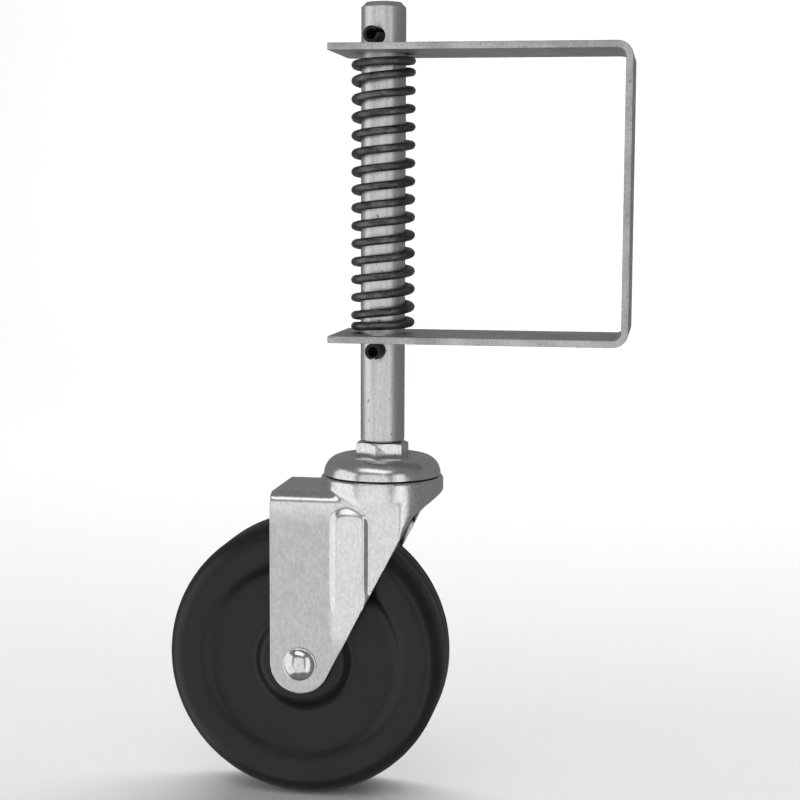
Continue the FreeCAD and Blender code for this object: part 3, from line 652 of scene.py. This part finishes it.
def make_bracket():
    bm = bmesh.new()
    half = (bar_high.y - bar_low.y) / 2
    top = bar_high.z
    under = top - BAR_THICK
    section = ((-half, top), (half, top), (half, under), (-half, under))
    face = bm.faces.new([bm.verts.new((bar_low.x, *corner)) for corner in section])
    arm = Vector((-BEND_OUTSIDE - bar_low.x, 0, 0))
    plate = top - BEND_OUTSIDE
    lead = push(bm, face, arm)
    lead = bend(bm, lead, (-BEND_OUTSIDE, 0, plate))
    lead = push(bm, lead, (0, 0, -2 * plate))
    lead = bend(bm, lead, (-BEND_OUTSIDE, 0, -plate))
    push(bm, lead, -arm)
    left_inside = [f for f in bm.faces if all(len(e.link_faces) > 2 for e in f.edges)]
    bmesh.ops.delete(bm, geom=left_inside, context="FACES_ONLY")
    weld(bm)
    bm = combined(bm, drill(ROD_HOLE, 4 * top, Matrix.Translation(stem_axis)), "DIFFERENCE")
    for side in (-1, 1):
        place = Matrix.Translation((0, 0, side * BOLT_SPACING / 2))
        hole = drill(BOLT_HOLE, 4 * BAR_THICK, place, Matrix.Rotation(math.pi / 2, 4, "Y"))
        bm = combined(bm, hole, "DIFFERENCE")
    slot = bmesh.new()
    bmesh.ops.create_cube(slot, size=1)
    moved(slot, Matrix.Translation(stem_axis + UP * (bar_low.z + BAR_THICK / 2)),
          Matrix.Rotation(LOWER_PIN_TURN, 4, "Z"),
          Matrix.Diagonal((SLOT_WIDTH, SLOT_LENGTH, 3 * BAR_THICK, 1)))
    return soften(combined(bm, slot, "DIFFERENCE"), BAR_EDGE, 3)


shown("bracket_bar", make_bracket(), "bracket", "galvanised_bar", galvanised, "mounting_bracket")

# %% [markdown]
# ## The rod and its pins
# The rod is a turned outline from its chamfered top down to the tapped bore in its lower
# end. Each pin is rolled from strip, so its section is a C: a short radial line is spun
# nearly all the way round, and the ring it leaves is pushed out to the pin's length.

# %% Sliding rod
ROD_CHAMFER = 1.8 * MM
ROD_FOOT_EDGE = 0.6 * MM
ROD_BORE = 5.0 * MM
BORE_DEPTH = 25.0 * MM
PIN_RADIUS = 3.0 * MM
PIN_LEVEL = bar_high.z + 0.3 * MM + PIN_RADIUS
PIN_HOLE = PIN_RADIUS + 0.06 * MM
ROD_EDGE = 0.35 * MM


def make_rod():
    top = rod_high.z
    foot = rod_low.z
    bm = lathe([
        (0, top),
        (rod_radius - ROD_CHAMFER, top),
        (rod_radius, top - ROD_CHAMFER),
        (rod_radius, foot + ROD_FOOT_EDGE),
        (rod_radius - ROD_FOOT_EDGE, foot),
        (ROD_BORE, foot),
        (ROD_BORE, foot + BORE_DEPTH),
        (0, foot + BORE_DEPTH + ROD_BORE / 2),
    ])
    for level, turn in ((PIN_LEVEL, UPPER_PIN_TURN), (-PIN_LEVEL, LOWER_PIN_TURN)):
        hole = drill(PIN_HOLE, 4 * rod_radius, Matrix.Translation((0, 0, level)),
                     Matrix.Rotation(turn, 4, "Z"), LYING)
        bm = combined(bm, hole, "DIFFERENCE")
    soften(bm, ROD_EDGE, 3)
    return moved(bm, Matrix.Translation(stem_axis))


shown("sliding_rod", make_rod(), "sliding_stem", "drawn_rod", drawn, "stem_rod")

# %% Rolled pins
PIN_WALL = 1.2 * MM
PIN_SLIT = 1.6 * MM
PIN_LENGTH = 28.0 * MM
PIN_EDGE = 0.28 * MM
UPPER_SLIT = math.radians(60)
LOWER_SLIT = math.radians(180)


def make_pin(level, turn, slit_turn):
    """A C-shaped tube along the pin's line, its slit turned from straight up."""
    bm = bmesh.new()
    half_slit = math.asin(PIN_SLIT / 2 / PIN_RADIUS)
    ends = [bm.verts.new((radius, 0, 0)) for radius in (PIN_RADIUS - PIN_WALL, PIN_RADIUS)]
    edge = bm.edges.new(ends)
    bmesh.ops.rotate(bm, verts=ends, cent=(0, 0, 0), matrix=Matrix.Rotation(half_slit, 3, "Z"))
    bmesh.ops.spin(bm, geom=ends + [edge], cent=(0, 0, 0), axis=UP,
                   angle=math.tau - 2 * half_slit, steps=56)
    made = bmesh.ops.extrude_face_region(bm, geom=list(bm.faces))["geom"]
    lead = [g for g in made if isinstance(g, bmesh.types.BMVert)]
    bmesh.ops.translate(bm, verts=lead, vec=(0, 0, PIN_LENGTH))
    weld(bm)
    soften(bm, PIN_EDGE, 2)
    slit = Matrix(((math.sin(slit_turn), -math.cos(slit_turn), 0, 0), (0, 0, -1, 0),
                   (math.cos(slit_turn), math.sin(slit_turn), 0, 0), (0, 0, 0, 1)))
    return moved(bm, Matrix.Translation(stem_axis + UP * level), Matrix.Rotation(turn, 4, "Z"),
                 slit, Matrix.Translation((0, 0, -PIN_LENGTH / 2)))


PINS = {
    "upper": (PIN_LEVEL, UPPER_PIN_TURN, UPPER_SLIT),
    "lower": (-PIN_LEVEL, LOWER_PIN_TURN, LOWER_SLIT),
}
for name, where in PINS.items():
    shown(name + "_rolled_pin", make_pin(*where), "sliding_stem", "black_pin", black,
          name + "_roll_pin")

# %% [markdown]
# ## The spring
# A helix is a formula, and a curve with a round section is the wire. The last turn at each
# end closes up against its neighbour, and both ends of the wire lie at the back, out of
# sight from the front. The spring gets a mesh of its own, and the share of its length that
# is left at the rod's full travel is printed.

# %% Compression spring
WIRE = 1.5 * MM
TURNS = 14
END_PITCH = 3.12 * MM
POINTS_PER_TURN = 40
WIRE_END = math.radians(100)
WIRE_EDGE = 0.3 * MM


def spring_level(turn):
    """Height of the wire's centre after so many turns: closed, open, closed."""
    low = coil_low.z + WIRE
    high = coil_high.z - WIRE
    open_pitch = (high - low - 2 * END_PITCH) / TURNS
    closed_turns = min(turn, 1) + max(turn - 1 - TURNS, 0)
    open_turns = min(max(turn - 1, 0), TURNS)
    return low + END_PITCH * closed_turns + open_pitch * open_turns


def make_spring():
    coil_radius = (coil_high.x - coil_low.x) / 2 - WIRE
    curve = bpy.data.curves.new("spring_line", "CURVE")
    curve.dimensions = "3D"
    spline = curve.splines.new("POLY")
    count = (TURNS + 2) * POINTS_PER_TURN
    spline.points.add(count)
    for number, point in enumerate(spline.points):
        turn = number / POINTS_PER_TURN
        angle = math.tau * turn + WIRE_END
        point.co = (stem_x + coil_radius * math.cos(angle), coil_radius * math.sin(angle),
                    spring_level(turn), 1)
    curve.bevel_depth = WIRE
    curve.bevel_resolution = 5
    curve.use_fill_caps = True
    line = bpy.data.objects.new("spring_line", curve)
    bpy.context.scene.collection.objects.link(line)
    return soften(weld(worked(line)), WIRE_EDGE, 2, math.radians(60))


travel = next(j["range_m"][1] for j in frame["joints"] if j["name"] == "stem_slide")
spring = shown("coil_spring", make_spring(), "bracket", "spring_wire", wire,
               "compression_spring")
spring_length = coil_high.z - coil_low.z
(spring_length - travel) / spring_length
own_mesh(spring)
print("spring keeps", round((spring_length - travel) / spring_length, 3), "of its length")

# %% [markdown]
# ## The caster's stem
# One steel part: a thread in the rod, a hexagon for the spanner, a plain pin through the
# swivel, and an end spread over a washer. A six-sided prism kept in common with a turned
# blank gives the hexagon its chamfered corners. The thread is a row of grooves.

# %% Threaded stem
HEX_CORNER = 17.0 / math.sqrt(3) * MM
HEX_HEIGHT = 6.2 * MM
HEX_TURN = math.radians(-6)
SEAT_GAP = 0.3 * MM
PIN_SHANK = 5.0 * MM
THREAD_RADIUS = 4.9 * MM
THREAD_PITCH = 1.5 * MM
THREAD_DEPTH = 0.8 * MM
HEAD_RADIUS = 7.0 * MM
HEAD_HEIGHT = 2.0 * MM
HEX_EDGE = 0.22 * MM
BLANK = 1.1 * HEX_CORNER
OVERLAP = 0.5 * MM
SKIM = 0.01 * MM


def make_stem():
    hex_top = rod_low.z - SEAT_GAP
    hex_foot = hex_top - HEX_HEIGHT
    flats = HEX_CORNER * math.cos(math.radians(30))
    middle = Matrix.Translation(UP * (hex_top + hex_foot) / 2)
    prism = bmesh.new()
    bmesh.ops.create_cone(prism, cap_ends=True, segments=6, radius1=HEX_CORNER,
                          radius2=HEX_CORNER, depth=HEX_HEIGHT)
    moved(prism, middle, Matrix.Rotation(HEX_TURN, 4, "Z"))
    blank = lathe([
        (0, hex_foot - OVERLAP),
        (BLANK, hex_foot - OVERLAP),
        (BLANK, hex_top - (BLANK - flats) / 2),
        (flats * 0.98, hex_top + SKIM),
        (0, hex_top + SKIM),
    ])
    hexagon = combined(prism, blank, "INTERSECT")
    foot = stem_low.z
    outline = [
        (0, foot),
        (HEAD_RADIUS - HEAD_HEIGHT / 2, foot),
        (HEAD_RADIUS, foot + HEAD_HEIGHT / 2),
        (HEAD_RADIUS, foot + HEAD_HEIGHT),
        (PIN_SHANK, foot + HEAD_HEIGHT),
        (PIN_SHANK, hex_foot + OVERLAP),
        (THREAD_RADIUS, hex_foot + OVERLAP),
    ]
    level = hex_top
    while level + THREAD_PITCH < stem_high.z - THREAD_PITCH:
        groove = (THREAD_RADIUS - THREAD_DEPTH, level + THREAD_PITCH / 2)
        outline += [(THREAD_RADIUS, level), groove]
        level += THREAD_PITCH
    tip = (THREAD_RADIUS - THREAD_PITCH, stem_high.z)
    outline += [(THREAD_RADIUS, level), tip, (0, stem_high.z)]
    bm = combined(hexagon, lathe(outline, steps=72), "UNION")

    def on_hexagon(edge):
        level = hex_foot - OVERLAP < edge.verts[0].co.z < hex_top + OVERLAP
        return level and min(v.co.xy.length for v in edge.verts) > PIN_SHANK * 1.2

    soften(bm, HEX_EDGE, 2, math.radians(20), on_hexagon)
    return moved(bm, Matrix.Translation(stem_axis))


shown("hexagon_stem", make_stem(), "sliding_stem", "bright_pressing", turned_steel,
      "threaded_stem")

# %% [markdown]
# ## The swivel cap
# Pressed from sheet like a shallow pie dish: flat round the hexagon, up over a round crest
# and down to a rim that hides the balls. Two arcs with one centre keep the sheet's
# thickness even, and a small fillet eases the dish into the crest.

# %% Pressed cap
CAP_SHEET = 2.2 * MM
CAP_SKIRT = 0.1 * MM
CAP_DISH = 1.3 * MM
CAP_HOLE = PIN_SHANK + 0.05 * MM
CAP_FILLET = 0.7 * MM
CAP_EDGE = 0.3 * MM


def make_cap():
    bulge = cap_high.z - cap_low.z - CAP_SKIRT
    crest = (cap_high.x - cap_low.x) / 2 - bulge
    level = cap_high.z - bulge
    inner = bulge - CAP_SHEET
    dish = cap_high.z - CAP_DISH
    outer_turn = 180 - math.degrees(math.asin((bulge - CAP_DISH) / bulge))
    inner_turn = 180 - math.degrees(math.asin((inner - CAP_DISH) / inner))
    outline = [(CAP_HOLE, dish)]
    outline += arc(crest, level, bulge, outer_turn, 0, 40)
    outline += [(crest + bulge, cap_low.z), (crest + inner, cap_low.z)]
    outline += arc(crest, level, inner, 0, inner_turn, 30)
    outline += [(CAP_HOLE, dish - CAP_SHEET)]
    bm = lathe(outline, closed=True, steps=160)

    def round_dish(edge):
        start = edge.verts[0].co
        return abs(start.z - dish) < SKIM and start.xy.length > HEX_CORNER

    soften(bm, CAP_FILLET, 4, where=round_dish)
    soften(bm, CAP_EDGE, 3, angle=math.radians(60))
    return moved(bm, Matrix.Translation(stem_axis))


shown("pressed_cap", make_cap(), "sliding_stem", "bright_pressing", pressing, "swivel_cap")

# %% [markdown]
# ## The fork
# A press drew this part from one sheet, so nothing on it is crisp: the raised race flows
# into the top plate, and the legs swell round it. The CAD solid has the folds, the outline
# and the holes right but every junction sharp. A welded copy is therefore remeshed into
# half-millimetre squares, relaxed all over a little and round the race a lot, and then a
# rib is raised on each leg, as the press did to stiffen it.

# %% Fork pressed from one sheet
FORK_SQUARE = 0.5 * MM
RELAX_ALL = 2
RELAX_RACE = 14
RACE_RADIUS = 22.3 * MM
RACE_BAND = 4.5 * MM
RACE_EDGE = 1.2 * MM
BLEND_DEPTH = 19.0 * MM
RIB_MIDDLE = -8.6 * MM
RIB_HALF = 7.7 * MM
RIB_BACK_SIDE = 3.6 * MM
RIB_FRONT_SIDE = 2.6 * MM
RIB_ARCH = 3.2 * MM
RIB_TOP = -109.5 * MM
RIB_TOP_FADE = 4.5 * MM
RIB_FOOT = -160.0 * MM
RIB_FOOT_FADE = 26.0 * MM
RIB_HEIGHT = 2.0 * MM
RIB_CROWN = 0.2
LEG_ZONE = 15.5 * MM


def ramp(value, start, end):
    """0 before start, 1 after end, and smooth between them."""
    share = min(max((value - start) / (end - start), 0), 1)
    return share * share * (3 - 2 * share)


def rib_height(point):
    """How far the rib stands out of a leg at a point."""
    across = point.x - stem_x - RIB_MIDDLE
    flank = RIB_BACK_SIDE if across < 0 else RIB_FRONT_SIDE
    side = ramp(abs(across), RIB_HALF, RIB_HALF - flank)
    rounding = min(abs(across) / RIB_HALF, 1) ** 2
    top = ramp(point.z + RIB_ARCH * rounding, RIB_TOP, RIB_TOP - RIB_TOP_FADE)
    foot = ramp(point.z, RIB_FOOT, RIB_FOOT + RIB_FOOT_FADE)
    return RIB_HEIGHT * side * (1 - RIB_CROWN * rounding) * top * foot


def relax(bm, verts, times):
    """Draw each vertex halfway towards its neighbours, so many times."""
    for _ in range(times):
        bmesh.ops.smooth_vert(bm, verts=verts, factor=0.5, use_axis_x=True, use_axis_y=True,
                              use_axis_z=True)


def by_race(point):
    """Whether a point is where the race runs into the plate and the legs."""
    reach = math.hypot(point.x - stem_x, point.y)
    level = fork_high.z - BLEND_DEPTH < point.z < fork_high.z - RACE_EDGE
    return level and abs(reach - RACE_RADIUS) < RACE_BAND


def make_fork():
    bm = bmesh.new()
    bm.from_mesh(frame["nodes"]["fork"].data)
    block = block_object(weld(bm), "fork_blank")
    squares = block.modifiers.new("squares", "REMESH")
    squares.mode = "VOXEL"
    squares.voxel_size = FORK_SQUARE
    bm = worked(block)
    relax(bm, bm.verts, RELAX_ALL)
    relax(bm, [v for v in bm.verts if by_race(v.co)], RELAX_RACE)
    for vert in bm.verts:
        if abs(vert.co.y) > LEG_ZONE:
            vert.co.y += math.copysign(rib_height(vert.co), vert.co.y)
    bmesh.ops.recalc_face_normals(bm, faces=bm.faces)
    return bm


shown("pressed_fork", make_fork(), "swivel_fork", "bright_pressing", fork_metal, "fork")

# %% [markdown]
# ## The axle rivet
# A turned pin with a domed head on one side, spread over the leg on the other by a punch.

# %% Axle rivet
RIVET_SHANK = 4.0 * MM
RIVET_HEAD = 6.2 * MM
RIVET_RISE = 3.2 * MM
SPREAD_RADIUS = 5.5 * MM
SPREAD_EDGE = 1.3 * MM
HEAD_LIP = 0.5 * MM
LIP_TURN = 5
RIVET_EDGE = 0.25 * MM


def make_rivet():
    leg = -rivet_low.y - RIVET_RISE
    far = -rivet_high.y
    dome = (RIVET_HEAD ** 2 + RIVET_RISE ** 2) / (2 * RIVET_RISE)
    rim = math.degrees(math.acos(RIVET_HEAD / dome))
    outline = [
        (0, far),
        (SPREAD_RADIUS - SPREAD_EDGE, far),
        (SPREAD_RADIUS, far + SPREAD_EDGE),
        (SPREAD_RADIUS, -leg),
        (RIVET_SHANK, -leg),
        (RIVET_SHANK, leg),
    ]
    outline += arc(RIVET_HEAD - HEAD_LIP, leg + HEAD_LIP, HEAD_LIP, -90, 0, 4)
    outline += arc(0, leg + RIVET_RISE - dome, dome, rim + LIP_TURN, 90, 18)
    bm = lathe(outline, steps=96)
    soften(bm, RIVET_EDGE, 3, angle=math.radians(32))
    return moved(bm, Matrix.Translation(axle), LYING)


shown("domed_rivet", make_rivet(), "swivel_fork", "rivet_steel", rivet_metal, "axle_rivet")

# %% [markdown]
# ## The wheel
# Moulded in one piece, and turned here from one outline that is the same on both sides:
# a hub boss like a soft cone, the flat of the dish, a slope out to the rim, a round
# shoulder and a flat tread. Two grooves beside the shoulders and the mould's parting line
# run right round.

# %% Moulded wheel
WHEEL_FACE = 15.9 * MM
HUB_BORE = 10.0 * MM
BOSS_TOP = 14.6 * MM
BOSS_FOOT = 18.4 * MM
DISH_OUTER = 38.2 * MM
DISH_INNER = 33.0 * MM
DISH_DEPTH = 3.4 * MM
TREAD_HALF = 8.0 * MM
GROOVE = 1.0 * MM
GROOVE_DEPTH = 0.8 * MM
PARTING = 0.35 * MM
PARTING_DEPTH = 0.3 * MM
BOSS_ROUND = 1.7 * MM
DISH_ROUND = 2.6 * MM
GROOVE_EDGE = 0.14 * MM


def half_outline():
    """The wheel's outline from the hub's bore to the middle of the tread, on one side."""
    hub = wheel_high.y
    web = WHEEL_FACE - DISH_DEPTH
    shoulder = WHEEL_FACE - TREAD_HALF
    groove = TREAD_HALF - GROOVE / 2
    line = [(HUB_BORE, hub), (BOSS_TOP, hub), (BOSS_FOOT, web)]
    line += [(DISH_INNER, web), (DISH_OUTER, WHEEL_FACE)]
    line += arc(wheel_radius - shoulder, WHEEL_FACE - shoulder, shoulder, 90, 0, 16)
    line += [(wheel_radius - GROOVE_DEPTH, groove), (wheel_radius, groove - GROOVE / 2)]
    line += [(wheel_radius, PARTING), (wheel_radius - PARTING_DEPTH, 0)]
    return line


def make_wheel():
    near = half_outline()
    far = [(radius, -height) for radius, height in near[-2::-1]]
    bm = lathe(near + far, closed=True, steps=200)

    def between(inner, outer):
        return lambda edge: inner * 0.98 < edge.verts[0].co.xy.length < outer * 1.02

    shallow = math.radians(20)
    soften(bm, BOSS_ROUND, 6, angle=shallow, where=between(BOSS_TOP, BOSS_FOOT))
    soften(bm, DISH_ROUND, 8, angle=shallow, where=between(DISH_INNER, DISH_OUTER))
    soften(bm, GROOVE_EDGE, 2, angle=math.radians(35))
    return moved(bm, Matrix.Translation(axle), LYING)


shown("moulded_wheel", make_wheel(), "road_wheel", "hard_rubber", rubber, "wheel")

# %% [markdown]
# ## The pieces inside
# Race cup, balls, washers, liner, rollers and cage are right as the CAD has them. They keep
# their meshes and only take a finish, so that nothing plain shows from below.

# %% Finishes on the CAD pieces that stay
STAYING = {
    "lower_race_cup": pressing,
    "kingpin_washer": pressing,
    "upper_balls": bearing,
    "lower_balls": bearing,
    "axle_sleeve": bearing,
    "near_thrust_washer": pressing,
    "far_thrust_washer": pressing,
    "hub_liner": bearing,
    "hub_rollers": bearing,
    "roller_cage": nylon,
}
for name, material in STAYING.items():
    node = frame["nodes"][name]
    if not node.material_slots:
        node.data.materials.append(material)
    for slot in node.material_slots:
        slot.material = material
print("finished CAD pieces:", len(STAYING))
